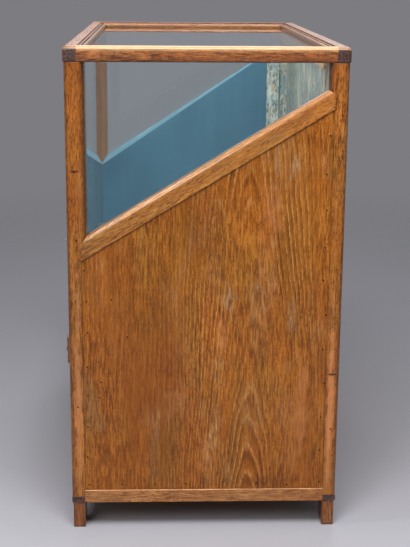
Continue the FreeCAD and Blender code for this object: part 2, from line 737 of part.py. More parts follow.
# The button's length lies along local Z and its thickness along local X, out from the post
def make_turn_button(end):
    along = ENDS[end]
    body = new_body("%s_turn_button" % end)
    pad(body, "YZ", rectangle(-button_wide / 2, button_wide / 2, -button_long / 2, button_long / 2),
        0, button_thick)
    bore = button_screw + 2 * button_bore_play
    drill(body, "YZ", [(0, 0)], bore, 0, button_thick)

    def corner(edge):
        box = edge.BoundBox
        return box.XLength > 1 and box.ZLength < 0.01 and box.YLength < 0.01
    soften(body, corner, button_wide * 0.49)
    soften(body, lambda edge: lies_at(x=0)(edge) and edge.Length > 4 * button_screw.value,
           button_thick * 0.25, "PartDesign::Chamfer")
    place(body, -post_x - button_collar - button_play - button_thick,
          along * (inner_y + button_from_edge), button_height)


def make_turn_button_screws():
    screws = []
    for along in ENDS.values():
        middle = Vector(-post_x.value, along * (inner_y + button_from_edge).value, button_height.value)
        outward = Vector(-1, 0, 0)
        reach = button_collar.value + button_thick.value + 2 * button_play.value
        shank = Part.makeCylinder(button_screw.value / 2, button_screw_deep.value + reach,
                                  middle + Vector(button_screw_deep.value, 0, 0), outward)
        collar = Part.makeCylinder(button_screw_head.value / 2, button_collar.value, middle, outward)
        head = Part.makeCone(button_screw_head.value / 2, button_screw_head.value * 0.3,
                             button_head_high.value, middle - Vector(reach, 0, 0), outward)
        screws.append(shank.fuse([collar, head]).Solids[0])
    group("turn_button_screws", screws)


def build():
    for side in SIDES:
        make_bearer(side)
        make_long_top_rail(side)
        for end in ENDS:
            make_post(side, end)
            make_leg(side, end)
    for end in ENDS:
        make_end_bottom_rail(end)
        make_sloping_rail(end)
        make_end_panel(end)
        make_end_glass(end)
        make_short_top_rail(end)
        make_door(end)
        make_turn_button(end)
    make_lining("near", near_lining_front, near_lining_rear)
    make_lining("far", far_lining_front, far_lining_rear)
    make_top_glazing()
    make_front()
    make_boards()
    make_rear()
    make_flap()
    make_hinges()
    make_turn_button_screws()
    doc.recompute()


def check():
    for thing in doc.Objects:
        if "Invalid" in thing.State or "Error" in thing.State:
            raise RuntimeError("%s failed" % thing.Label)
    for part in sub_parts:
        if part.Shape.isNull() or not part.Shape.isValid() or not part.Shape.Solids:
            raise RuntimeError("%s has no valid shape" % part.Label)


build()
check()
os.makedirs("parts", exist_ok=True)
for part in sub_parts:
    part.Shape.exportStep("parts/%s.step" % part.Label)
print("%d sub-parts, hinge axis at x %.2f z %.2f" % (len(sub_parts), -hinge_x.value, hinge_z.value))
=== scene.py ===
import math
import random

import bpy
from mathutils import Matrix, Vector


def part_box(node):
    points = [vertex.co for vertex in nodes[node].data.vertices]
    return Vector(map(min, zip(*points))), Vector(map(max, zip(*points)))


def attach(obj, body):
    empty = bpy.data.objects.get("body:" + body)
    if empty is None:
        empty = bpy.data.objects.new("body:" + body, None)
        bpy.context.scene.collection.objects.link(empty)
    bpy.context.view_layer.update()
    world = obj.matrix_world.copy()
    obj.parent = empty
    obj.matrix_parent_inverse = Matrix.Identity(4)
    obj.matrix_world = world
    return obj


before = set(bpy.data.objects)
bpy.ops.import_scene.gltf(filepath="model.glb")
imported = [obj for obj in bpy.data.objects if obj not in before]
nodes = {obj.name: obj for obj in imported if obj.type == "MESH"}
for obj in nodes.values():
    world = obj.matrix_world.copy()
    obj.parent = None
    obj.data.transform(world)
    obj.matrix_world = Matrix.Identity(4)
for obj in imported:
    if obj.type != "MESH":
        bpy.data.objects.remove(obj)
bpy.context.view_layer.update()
scene = bpy.context.scene
print("frame loaded:", len(nodes), "pieces")


# camera: stands before the near end, a little to the front side, looking down
cameraSet = {"place": (-0.083, -2.631, 1.055), "turnRight": 2.17, "lookDown": 14.28, "roll": 0.43,
             "focalPixels": 1203, "picturePixels": 547, "sensor": 36}


def makeCamera():
    data = bpy.data.cameras.new("camera")
    data.sensor_width = cameraSet["sensor"]
    data.lens = cameraSet["focalPixels"] * cameraSet["sensor"] / cameraSet["picturePixels"]
    data.clip_end = 60
    camera = bpy.data.objects.new("camera", data)
    scene.collection.objects.link(camera)
    camera.matrix_world = (Matrix.Translation(cameraSet["place"])
                           @ Matrix.Rotation(math.radians(-cameraSet["turnRight"]), 4, "Z")
                           @ Matrix.Rotation(math.radians(90 - cameraSet["lookDown"]), 4, "X")
                           @ Matrix.Rotation(math.radians(cameraSet["roll"]), 4, "Z"))
    scene.camera = camera


makeCamera()
scene.view_settings.view_transform = "Standard"


# small helpers for shader trees
def linear(red, green, blue):
    def one(value):
        value /= 255
        return value / 12.92 if value <= 0.04045 else ((value + 0.055) / 1.055) ** 2.4
    return (one(red), one(green), one(blue), 1)


def put(socket, value):
    if isinstance(value, bpy.types.NodeSocket):
        socket.id_data.links.new(value, socket)
    else:
        socket.default_value = value


def add(tree, kind, values=(), **settings):
    made = tree.nodes.new(kind)
    for name, value in settings.items():
        setattr(made, name, value)
    for key, value in dict(values).items():
        put(made.inputs[key], value)
    return made


def math2(tree, operation, a, b=0.0, c=0.0, clamp=False):
    return add(tree, "ShaderNodeMath", {0: a, 1: b, 2: c}, operation=operation, use_clamp=clamp).outputs[0]


def vector2(tree, operation, a, b=(0, 0, 0)):
    made = add(tree, "ShaderNodeVectorMath", {0: a, 1: b}, operation=operation)
    return made.outputs["Value" if operation in ("LENGTH", "DOT_PRODUCT", "DISTANCE") else "Vector"]


def noise(tree, vector, scale, detail=2.0, roughness=0.5, distortion=0.0):
    return add(tree, "ShaderNodeTexNoise", {"Vector": vector, "Scale": scale, "Detail": detail,
                                            "Roughness": roughness, "Distortion": distortion})


def ramp(tree, value, fromLow, fromHigh, toLow=0.0, toHigh=1.0, smooth=True):
    return add(tree, "ShaderNodeMapRange", {"Value": value, "From Min": fromLow, "From Max": fromHigh,
                                            "To Min": toLow, "To Max": toHigh},
               interpolation_type="SMOOTHSTEP" if smooth else "LINEAR").outputs["Result"]


def mixColor(tree, factor, a, b, blend="MIX"):
    made = add(tree, "ShaderNodeMix", data_type="RGBA", blend_type=blend)
    put(made.inputs[0], factor)
    put(made.inputs[6], a)
    put(made.inputs[7], b)
    return made.outputs[2]


def newGroup(name, inputs, outputs):
    tree = bpy.data.node_groups.new(name, "ShaderNodeTree")
    for socketName, kind, value in inputs:
        socket = tree.interface.new_socket(socketName, in_out="INPUT", socket_type=kind)
        if value is not None:
            socket.default_value = value
    for socketName, kind in outputs:
        tree.interface.new_socket(socketName, in_out="OUTPUT", socket_type=kind)
    return tree, tree.nodes.new("NodeGroupInput").outputs, tree.nodes.new("NodeGroupOutput").inputs


def fillGroup(tree, group, values):
    made = tree.nodes.new("ShaderNodeGroup")
    made.node_tree = group
    for key, value in values.items():
        put(made.inputs[key], value)
    return made


def newMaterial(name):
    material = bpy.data.materials.new(name)
    material.use_nodes = True
    tree = material.node_tree
    tree.nodes.clear()
    shader = tree.nodes.new("ShaderNodeBsdfPrincipled")
    out = tree.nodes.new("ShaderNodeOutputMaterial")
    tree.links.new(shader.outputs[0], out.inputs["Surface"])
    place = tree.nodes.new("ShaderNodeTexCoord").outputs["Object"]
    return material, tree, shader, place


# oak: growth rings round a leaning heart, pores, fibres, worn and soiled places, and the painted shade and sheen handed
# in with them; the grain runs along Z
floatKind, vectorKind, colourKind = "NodeSocketFloat", "NodeSocketVector", "NodeSocketColor"
oakMarks = {"rub": linear(186, 138, 86), "greyRub": linear(162, 134, 102), "bleachAndSheen": linear(232, 160, 98),
            "soilAndShade": linear(70, 38, 18)}


def makeOakGroup():
    tree, given, out = newGroup(
        "oak", [("Vector", vectorKind, (0, 0, 0)), ("Heart", vectorKind, (0.3, 0.2, 0)),
                ("Lean", vectorKind, (0, 0, 0)), ("Taper", floatKind, 0.0), ("Ring Width", floatKind, 0.005),
                ("Figure", floatKind, 0.5), ("Fibre", floatKind, 1.0), ("Pores", floatKind, 0.5),
                ("Light", colourKind, (1, 1, 1, 1)), ("Middle", colourKind, (0.5, 0.5, 0.5, 1)),
                ("Dark", colourKind, (0, 0, 0, 1)), ("Scuffs", floatKind, 0.3), ("Stains", floatKind, 0.3),
                ("Rub", floatKind, 0.0), ("Bleach And Sheen", floatKind, 0.0), ("Soil And Shade", floatKind, 0.0)],
        [("Color", colourKind), ("Roughness", floatKind), ("Height", floatKind)])
    place = given["Vector"]

    def stretched(along):
        return vector2(tree, "MULTIPLY", place, (1, 1, along))

    def wander(along, scale, amount):
        centred = vector2(tree, "SUBTRACT", noise(tree, stretched(along), scale).outputs["Color"], (0.5, 0.5, 0.5))
        return vector2(tree, "MULTIPLY", centred, (amount, amount, 0))

    # growth rings
    height = add(tree, "ShaderNodeSeparateXYZ", {0: place}).outputs["Z"]
    lean = add(tree, "ShaderNodeVectorMath", {0: given["Lean"], "Scale": height}, operation="SCALE").outputs["Vector"]
    away = vector2(tree, "SUBTRACT", place, vector2(tree, "ADD", given["Heart"], lean))
    away = vector2(tree, "ADD", vector2(tree, "ADD", away, wander(0.4, 5.0, 0.055)), wander(0.3, 30, 0.009))
    away = vector2(tree, "MULTIPLY", away, (1, 1, 0))
    aside = add(tree, "ShaderNodeSeparateXYZ", {0: vector2(tree, "ABSOLUTE", away)}).outputs["X"]
    below = math2(tree, "SUBTRACT", height, add(tree, "ShaderNodeSeparateXYZ", {0: given["Heart"]}).outputs["Z"])
    pointed = math2(tree, "MULTIPLY", ramp(tree, aside, 0.04, 0.18, 1.0, 0.15), given["Taper"])
    rings = math2(tree, "MULTIPLY_ADD", pointed, below, vector2(tree, "LENGTH", away))
    rings = math2(tree, "DIVIDE", rings, given["Ring Width"])
    ring = math2(tree, "FRACT", rings)
    year = add(tree, "ShaderNodeTexWhiteNoise", {"W": math2(tree, "FLOOR", rings)}, noise_dimensions="1D")
    # the figure is plainest beside the heart, and stronger in some years and places
    shown = noise(tree, vector2(tree, "MULTIPLY", place, (1, 1, 0.35)), 13, 2).outputs["Fac"]
    figure = math2(tree, "MULTIPLY", ramp(tree, aside, 0.07, 0.18, 1.0, 0.4), given["Figure"])
    figure = math2(tree, "MULTIPLY", figure, ramp(tree, year.outputs["Value"], 0.0, 1.0, 0.3, 1.2))
    figure = math2(tree, "MULTIPLY", figure, ramp(tree, shown, 0.36, 0.56, 0.2, 1.2))
    early = math2(tree, "MULTIPLY", math2(tree, "MULTIPLY", ramp(tree, ring, 0.0, 0.1), ramp(tree, ring, 0.4, 0.12)),
                  figure)
    late = math2(tree, "MULTIPLY", math2(tree, "MULTIPLY", ramp(tree, ring, 0.45, 0.85), ramp(tree, ring, 1.0, 0.92)),
                 figure)
    # fibres from broad to fine, and short dark pores that gather in the early wood
    broad = noise(tree, stretched(0.12), 60, 3, 0.55).outputs["Fac"]
    streak = noise(tree, stretched(0.11), 400, 2, 0.55).outputs["Fac"]
    stroke = noise(tree, stretched(0.16), 620, 2, 0.6).outputs["Fac"]
    hair = noise(tree, stretched(0.22), 1000, 2, 0.6).outputs["Fac"]
    pore = math2(tree, "MULTIPLY", ramp(tree, math2(tree, "MULTIPLY_ADD", early, 0.07, stroke), 0.57, 0.66),
                 given["Pores"])
    shade = ramp(tree, streak, 0.32, 0.68, -0.5, 0.5)
    shade = math2(tree, "ADD", shade, ramp(tree, hair, 0.32, 0.68, -0.45, 0.45, smooth=False))
    lively = noise(tree, stretched(0.4), 11, 2, 0.5).outputs["Fac"]
    shade = math2(tree, "MULTIPLY", shade, math2(tree, "MULTIPLY", given["Fibre"],
                                                 ramp(tree, lively, 0.36, 0.64, 0.55, 1.2)))
    shade = math2(tree, "ADD", shade, ramp(tree, broad, 0.3, 0.7, -0.22, 0.22, smooth=False))
    shade = math2(tree, "MULTIPLY_ADD", late, 0.45, math2(tree, "ADD", shade, pore))
    colour = mixColor(tree, math2(tree, "MULTIPLY", shade, 1.0, clamp=True), given["Middle"], given["Dark"])
    colour = mixColor(tree, math2(tree, "MULTIPLY", shade, -1.0, clamp=True), colour, given["Light"])
    filled = math2(tree, "MULTIPLY", early, ramp(tree, stroke, 0.4, 0.58, 1.0, 0.12))
    colour = mixColor(tree, math2(tree, "MULTIPLY", filled, 0.9, clamp=True), colour,
                      mixColor(tree, 0.6, given["Light"], oakMarks["rub"]))
    # slow changes of tone and warmth
    cloud = noise(tree, stretched(0.45), 7.5, 3, 0.55).outputs["Fac"]
    colour = mixColor(tree, 1.0, colour, mixColor(tree, ramp(tree, cloud, 0.32, 0.68),
                                                  (0.84, 0.79, 0.74, 1), (1.12, 1.12, 1.08, 1)), "MULTIPLY")
    warm = noise(tree, stretched(0.3), 17, 2, 0.5).outputs["Fac"]
    colour = mixColor(tree, 1.0, colour, mixColor(tree, ramp(tree, warm, 0.35, 0.65),
                                                  (1.05, 0.95, 0.86, 1), (0.98, 1.03, 1.08, 1)), "MULTIPLY")
    # pale places where the finish is rubbed off, drawn out along the grain, and bleached places, some of them a painted
    # sheen
    patch = ramp(tree, noise(tree, stretched(0.3), 19, 3, 0.6, 0.4).outputs["Fac"], 0.5, 0.7)
    speck = ramp(tree, noise(tree, stretched(0.12), 330, 3, 0.7).outputs["Fac"], 0.48, 0.6)
    rub = math2(tree, "MULTIPLY_ADD", patch, given["Scuffs"], given["Rub"])
    rub = math2(tree, "MULTIPLY", rub, math2(tree, "MULTIPLY_ADD", speck, 0.8, 0.2), clamp=True)
    colour = mixColor(tree, given["Bleach And Sheen"], colour, mixColor(tree, 0.5, oakMarks["bleachAndSheen"], colour, "MULTIPLY"))
    colour = mixColor(tree, rub, colour, mixColor(tree, ramp(tree, warm, 0.4, 0.6), oakMarks["rub"],
                                                  oakMarks["greyRub"]))
    # dark spots, handled places, and the painted shade handed in with the soil
    stainAndShade = ramp(tree, noise(tree, place, 17, 4, 0.65, 0.6).outputs["Fac"], 0.58, 0.76)
    spot = ramp(tree, noise(tree, stretched(0.6), 110, 2, 0.6).outputs["Fac"], 0.71, 0.77)
    stainAndShade = math2(tree, "MULTIPLY", math2(tree, "MULTIPLY_ADD", stainAndShade, 0.5, spot), given["Stains"])
    soilAndShade = math2(tree, "MULTIPLY", given["Soil And Shade"], ramp(tree, stroke, 0.35, 0.6, 0.6, 1.0))
    stainAndShade = math2(tree, "MAXIMUM", stainAndShade, soilAndShade)
    colour = mixColor(tree, math2(tree, "MINIMUM", stainAndShade, 1.0), colour, oakMarks["soilAndShade"])
    put(out["Color"], colour)
    rough = math2(tree, "MULTIPLY_ADD", streak, 0.2, 0.33)
    put(out["Roughness"], math2(tree, "MULTIPLY_ADD", rub, 0.3, rough))
    put(out["Height"], math2(tree, "SUBTRACT", math2(tree, "MULTIPLY_ADD", hair, 0.5, streak), pore))
    return tree


# mask of the rounded edges that look upwards, ragged: rubbed wear and a painted highlight where the lamps catch them
def makeRubbedEdgeHighlightGroup():
    tree, given, out = newGroup("rubbedEdgeAndHighlight", [("Normal", vectorKind, (0, 0, 1)), ("Vector", vectorKind, (0, 0, 0)),
                                               ("Upward", floatKind, 0.15)], [("Mask", floatKind)])
    parts = add(tree, "ShaderNodeSeparateXYZ", {0: vector2(tree, "ABSOLUTE", given["Normal"])}).outputs
    largest = math2(tree, "MAXIMUM", math2(tree, "MAXIMUM", parts[0], parts[1]), parts[2])
    curved = ramp(tree, largest, 0.985, 0.86)
    upward = ramp(tree, add(tree, "ShaderNodeSeparateXYZ", {0: given["Normal"]}).outputs[2],
                  given["Upward"], math2(tree, "ADD", given["Upward"], 0.25))
    ragged = noise(tree, given["Vector"], 90, 3, 0.6).outputs["Fac"]
    put(out["Mask"], math2(tree, "MULTIPLY", math2(tree, "MULTIPLY", curved, upward),
                           ramp(tree, ragged, 0.25, 0.6, 0.35, 1.0)))
    return tree


# an upright corner's round, darkened by some dirt and by painted shade where it turns away from the lamps
def makeCornerShadeGroup():
    tree, given, out = newGroup("uprightCornerShade", [("Normal", vectorKind, (0, 0, 1)), ("Vector", vectorKind, (0, 0, 0))],
                                [("Mask", floatKind)])
    parts = add(tree, "ShaderNodeSeparateXYZ", {0: vector2(tree, "ABSOLUTE", given["Normal"])}).outputs
    turned = ramp(tree, math2(tree, "MINIMUM", parts[0], parts[1]), 0.1, 0.5)
    ragged = noise(tree, vector2(tree, "MULTIPLY", given["Vector"], (1, 1, 0.3)), 130, 3, 0.65).outputs["Fac"]
    put(out["Mask"], math2(tree, "MULTIPLY", turned, ramp(tree, ragged, 0.3, 0.65, 0.45, 1.0)))
    return tree


# darkens a piece towards the edges of a box: dirt, and painted shade in the corners
def makeGrimeAndShadeGroup():
    tree, given, out = newGroup(
        "grimeAndShade", [("Vector", vectorKind, (0, 0, 0)), ("Low", vectorKind, (0, 0, 0)), ("High", vectorKind, (1, 1, 1)),
                  ("Width", floatKind, 0.01)], [("Mask", floatKind)])
    near = vector2(tree, "SUBTRACT", given["Vector"], given["Low"])
    far = vector2(tree, "SUBTRACT", given["High"], given["Vector"])
    closest = add(tree, "ShaderNodeSeparateXYZ", {0: vector2(tree, "MINIMUM", near, far)})
    least = math2(tree, "MINIMUM", closest.outputs[0], closest.outputs[2])
    ragged = noise(tree, given["Vector"], 60, 3, 0.6).outputs["Fac"]
    width = math2(tree, "MULTIPLY", given["Width"], ramp(tree, ragged, 0.2, 0.8, 0.4, 1.6))
    put(out["Mask"], ramp(tree, math2(tree, "DIVIDE", least, width), 1.0, 0.0))
    return tree


# one soft-edged place of a given size
def makePlaceGroup():
    tree, given, out = newGroup("softPlace", [("Vector", vectorKind, (0, 0, 0)), ("Centre", vectorKind, (0, 0, 0)),
                                              ("Size", vectorKind, (1, 1, 1)), ("Ragged", floatKind, 2.0)],
                                [("Mask", floatKind)])
    offset = vector2(tree, "DIVIDE", vector2(tree, "SUBTRACT", given["Vector"], given["Centre"]), given["Size"])
    ragged = noise(tree, vector2(tree, "MULTIPLY", given["Vector"], (1, 1, 0.5)), 50, 3, 0.65, 0.3).outputs["Fac"]
    ragged = math2(tree, "MULTIPLY", math2(tree, "SUBTRACT", ragged, 0.5), given["Ragged"])
    reach = math2(tree, "ADD", vector2(tree, "LENGTH", offset), ragged)
    put(out["Mask"], ramp(tree, reach, 1.1, 0.2))
    return tree


paperSet = {"pale": linear(164, 166, 152), "cool": linear(116, 132, 130), "line": linear(82, 92, 92),
            "cream": linear(188, 176, 148), "tan": linear(158, 134, 112), "sky": linear(138, 158, 160)}


# aged paper: soft upright strokes in pale greys and greens, with worn cream places
def makePaperGroup():
    tree, given, out = newGroup("agedPaper", [("Vector", vectorKind, (0, 0, 0))],
                                [("Color", colourKind), ("Height", floatKind)])

    def mark(shift, along, scale, low, high, strength, roughness=0.6):
        at = add(tree, "ShaderNodeMapping", {"Vector": given["Vector"], "Location": (shift, -shift, 2 * shift),
                                             "Scale": (1, 1, along)}).outputs[0]
        value = noise(tree, at, scale, 3, roughness, 0.4).outputs["Fac"]
        return ramp(tree, value, low, high, 0.0, strength)

    colour = mixColor(tree, mark(0.0, 0.3, 110, 0.4, 0.6, 1.0), paperSet["cool"], paperSet["pale"])
    colour = mixColor(tree, mark(1.7, 0.7, 11, 0.52, 0.62, 0.6), colour, paperSet["sky"])
    colour = mixColor(tree, mark(3.1, 0.4, 85, 0.53, 0.66, 0.75), colour, paperSet["tan"])
    fine = mark(5.3, 0.35, 190, 0.48, 0.62, 0.95, 0.75)
    colour = mixColor(tree, fine, colour, paperSet["line"])
    colour = mixColor(tree, mark(7.9, 0.5, 15, 0.5, 0.66, 0.7), colour, paperSet["cream"])
    put(out["Color"], colour)
    put(out["Height"], fine)
    return tree


oakGroup = makeOakGroup()
rubbedEdgeHighlightGroup = makeRubbedEdgeHighlightGroup()
cornerShadeGroup = makeCornerShadeGroup()
grimeAndShadeGroup = makeGrimeAndShadeGroup()
placeGroup = makePlaceGroup()
paperGroup = makePaperGroup()

oakTones = {
    "frame": {"light": linear(182, 118, 50), "middle": linear(146, 86, 25), "dark": linear(82, 40, 7)},
    "panel": {"light": linear(174, 113, 42), "middle": linear(139, 80, 15), "dark": linear(92, 46, 3)},
    "rail": {"light": linear(196, 134, 58), "middle": linear(150, 94, 32), "dark": linear(94, 50, 12)},
    "top": {"light": linear(170, 108, 62), "middle": linear(130, 76, 40), "dark": linear(74, 36, 20)},
    "base": {"light": linear(196, 138, 84), "middle": linear(158, 102, 56), "dark": linear(100, 56, 26)},
    "leg": {"light": linear(166, 110, 66), "middle": linear(130, 80, 42), "dark": linear(70, 36, 18)},
    "bead": {"light": linear(170, 116, 70), "middle": linear(138, 92, 54), "dark": linear(94, 58, 32)},
    "board": {"light": linear(212, 172, 126), "middle": linear(190, 146, 100), "dark": linear(146, 102, 62)},
}
grainTurns = {"x": (0, math.pi / 2, 0), "y": (math.pi / 2, 0, 0), "z": (0, 0, 0)}


def placesMask(tree, place, places):
    total = 0.0
    for centre, size, strength in places:
        ragged = 2.0 if max(size[0], size[2]) > 0.01 else 0.6
        mask = fillGroup(tree, placeGroup, {"Vector": place, "Centre": centre, "Size": size, "Ragged": ragged}).outputs[0]
        mask = math2(tree, "MULTIPLY", mask, strength)
        total = mask if total == 0.0 else math2(tree, "MAXIMUM", total, mask)
    return total


def facing(tree, direction, low=0.6, high=0.9):
    normal = tree.nodes.new("ShaderNodeNewGeometry").outputs["Normal"]
    return ramp(tree, vector2(tree, "DOT_PRODUCT", normal, direction), low, high)


def axisValue(tree, place, axis, absolute=False):
    value = add(tree, "ShaderNodeSeparateXYZ", {0: place}).outputs[axis]
    return math2(tree, "ABSOLUTE", value) if absolute else value


def oakMaterial(name, tone, grain="z", heart=(0.35, 0.22, 0), lean=(0.01, 0.01), ringWidth=0.005, taper=0.0, figure=0.5,
                fibre=1.0, pores=0.5, scuffs=0.3, stains=0.3, tilt=0.0, gloss=0.3, rubs=(), bleachedAndSheen=(), soiled=(),
                rubbedAndHighlight=0.0, upward=0.15, corner=0.0, endGrain=None, papered=(), dull=(), grimeAndShade=None, darkBelow=None,
                grooveShade=None, sightShade=None, slopeTopShade=None, lined=None, paintedHighlightAbove=None, coatRoughness=0.12):
    material, tree, shader, place = newMaterial(name)
    seed = random.Random(name)
    turn = Vector(grainTurns[grain]) + Vector((0, tilt, 0))
    shift = (seed.uniform(-3, 3), seed.uniform(-3, 3), seed.uniform(-3, 3))
    at = add(tree, "ShaderNodeMapping", {"Vector": place, "Rotation": turn, "Location": shift}).outputs[0]
    tones = oakTones[tone]
    soilAndShade = placesMask(tree, place, soiled)
    # painted shade, with some dirt, on the upright rounds that turn to the sides
    if corner:
        normal = tree.nodes.new("ShaderNodeNewGeometry").outputs["Normal"]
        mask = fillGroup(tree, cornerShadeGroup, {"Normal": normal, "Vector": place}).outputs[0]
        soilAndShade = math2(tree, "MAXIMUM", soilAndShade, math2(tree, "MULTIPLY", mask, corner))
    # painted shade: darker towards the bottom
    if darkBelow:
        high, low, strength = darkBelow
        soilAndShade = math2(tree, "MAXIMUM", soilAndShade, ramp(tree, axisValue(tree, place, "Z"), high, low, 0, strength))
    # dirt and painted shade towards the piece's edges
    if grimeAndShade:
        box, width, strength = grimeAndShade
        mask = fillGroup(tree, grimeAndShadeGroup, {"Vector": place, "Low": box[0], "High": box[1], "Width": width})
        soilAndShade = math2(tree, "MAXIMUM", soilAndShade, math2(tree, "MULTIPLY", mask.outputs[0], strength))
    # bleached places, on the posts a painted sheen
    bleachAndSheen = placesMask(tree, place, bleachedAndSheen)
    # painted shade in the bead's groove
    if grooveShade:
        axis, inner, outer = grooveShade
        value = axisValue(tree, place, axis, absolute=True)
        cut = math2(tree, "MULTIPLY", math2(tree, "GREATER_THAN", value, inner), math2(tree, "LESS_THAN", value, outer))
        soilAndShade = math2(tree, "MAXIMUM", soilAndShade, cut)
    # painted shade on the sloping rail's top, between the glass and its round
    if slopeTopShade:
        up = (-math.sin(slopeTopShade), 0, math.cos(slopeTopShade))
        soilAndShade = math2(tree, "MAXIMUM", soilAndShade, math2(tree, "MULTIPLY", facing(tree, up, 0.82, 0.94), 0.8))
    # painted shade on a post's inward side, outside the glass
    if sightShade:
        front = math2(tree, "GREATER_THAN", axisValue(tree, place, "Y", absolute=True), frameInside)
        soilAndShade = math2(tree, "MAXIMUM", soilAndShade, math2(tree, "MULTIPLY", facing(tree, sightShade, 0.3, 0.8), front))
    wood = fillGroup(tree, oakGroup, {
        "Vector": at, "Lean": (lean[0], lean[1], 0),
        "Heart": (heart[0] + shift[0] - lean[0] * shift[2], heart[1] + shift[1] - lean[1] * shift[2],
                  heart[2] + shift[2]), "Taper": taper,
        "Ring Width": ringWidth, "Figure": figure, "Fibre": fibre, "Pores": pores, "Light": tones["light"],
        "Middle": tones["middle"], "Dark": tones["dark"], "Scuffs": scuffs, "Stains": stains,
        "Rub": placesMask(tree, place, rubs), "Bleach And Sheen": bleachAndSheen, "Soil And Shade": soilAndShade})
    colour = wood.outputs["Color"]
    if endGrain:
        spots = noise(tree, place, 420, 3, 0.7).outputs["Fac"]
        dark = mixColor(tree, ramp(tree, spots, 0.4, 0.7), linear(48, 31, 28), linear(104, 78, 70))
        mask = math2(tree, "MAXIMUM", facing(tree, endGrain, 0.45, 0.75),
                     facing(tree, [-value for value in endGrain], 0.45, 0.75))
        colour = mixColor(tree, mask, colour, dark)
    # painted highlight: the outer face paler towards its rounded top
    if paintedHighlightAbove:
        axis, inner, low, high, strength = paintedHighlightAbove
        rise = ramp(tree, axisValue(tree, place, "Z"), low, high, 0.0, strength, smooth=False)
        outside = math2(tree, "GREATER_THAN", axisValue(tree, place, axis, absolute=True), inner)
        colour = mixColor(tree, math2(tree, "MULTIPLY", rise, outside), colour,
                          mixColor(tree, 0.7, colour, linear(232, 182, 126)))
    if lined:
        mask = math2(tree, "MAXIMUM", facing(tree, (1, 0, 0)), facing(tree, (0, 0, 1)))
        mask = math2(tree, "MULTIPLY", mask, math2(tree, "GREATER_THAN", axisValue(tree, place, "X"), lined))
        colour = mixColor(tree, mask, colour, clothSet["light"])
    # pale rounded edges: partly worn finish, partly a painted highlight on the upward rounds
    if rubbedAndHighlight:
        normal = tree.nodes.new("ShaderNodeNewGeometry").outputs["Normal"]
        turned = add(tree, "ShaderNodeVectorRotate", {"Vector": normal, "Angle": tilt},
                     rotation_type="Y_AXIS").outputs[0]
        edge = fillGroup(tree, rubbedEdgeHighlightGroup, {"Normal": turned, "Vector": place, "Upward": upward}).outputs[0]
        colour = mixColor(tree, math2(tree, "MULTIPLY", edge, rubbedAndHighlight), colour, linear(234, 178, 118))
    # papered faces are real paper; the dull faces inside the case are greyed brown as a painted reflection of the glass
    # over them
    if papered or dull:
        inside = math2(tree, "LESS_THAN", axisValue(tree, place, "Y", absolute=True), frameInside)
        mask = 0.0
        for direction in papered or dull:
            mask = math2(tree, "MAXIMUM", facing(tree, direction), mask)
        mask = math2(tree, "MULTIPLY", mask, inside)
        if papered:
            paper = fillGroup(tree, paperGroup, {"Vector": place})
            colour = mixColor(tree, mask, colour, paper.outputs["Color"])
        else:
            colour = mixColor(tree, math2(tree, "MULTIPLY", mask, 0.8), colour, linear(92, 72, 58))
    put(shader.inputs["Base Color"], colour)
    put(shader.inputs["Roughness"], wood.outputs["Roughness"])
    shader.inputs["Specular IOR Level"].default_value = 0.25
    shader.inputs["Coat Weight"].default_value = gloss
    shader.inputs["Coat Roughness"].default_value = coatRoughness
    bump = add(tree, "ShaderNodeBump", {"Strength": 0.35, "Distance": 0.0004, "Height": wood.outputs["Height"]})
    put(shader.inputs["Normal"], bump.outputs[0])
    return material


def setMaterial(piece, material):
    piece.data.materials.clear()
    piece.data.materials.append(material)


# the other finishes
glassSet = {"tint": (0.9, 0.93, 0.935, 1), "clear": (0.93, 0.96, 0.96, 1)}


def glassMaterial():
    material, tree, shader, place = newMaterial("oldGlass")
    shader.inputs["Base Color"].default_value = glassSet["tint"]
    shader.inputs["Roughness"].default_value = 0.0
    shader.inputs["IOR"].default_value = 1.5
    shader.inputs["Transmission Weight"].default_value = 1.0
    clear = add(tree, "ShaderNodeBsdfTransparent", {"Color": glassSet["clear"]})
    shadowed = tree.nodes.new("ShaderNodeLightPath").outputs["Is Shadow Ray"]
    mix = add(tree, "ShaderNodeMixShader", {0: shadowed, 1: shader.outputs[0], 2: clear.outputs[0]})
    out = [node for node in tree.nodes if node.type == "OUTPUT_MATERIAL"][0]
    tree.links.new(mix.outputs[0], out.inputs["Surface"])
    return material


clothSet = {"dark": linear(47, 80, 96), "light": linear(57, 92, 107), "thread": linear(39, 67, 80),
            "edge": linear(98, 130, 142), "edgeWide": 0.0025, "paperFrom": 0.185}


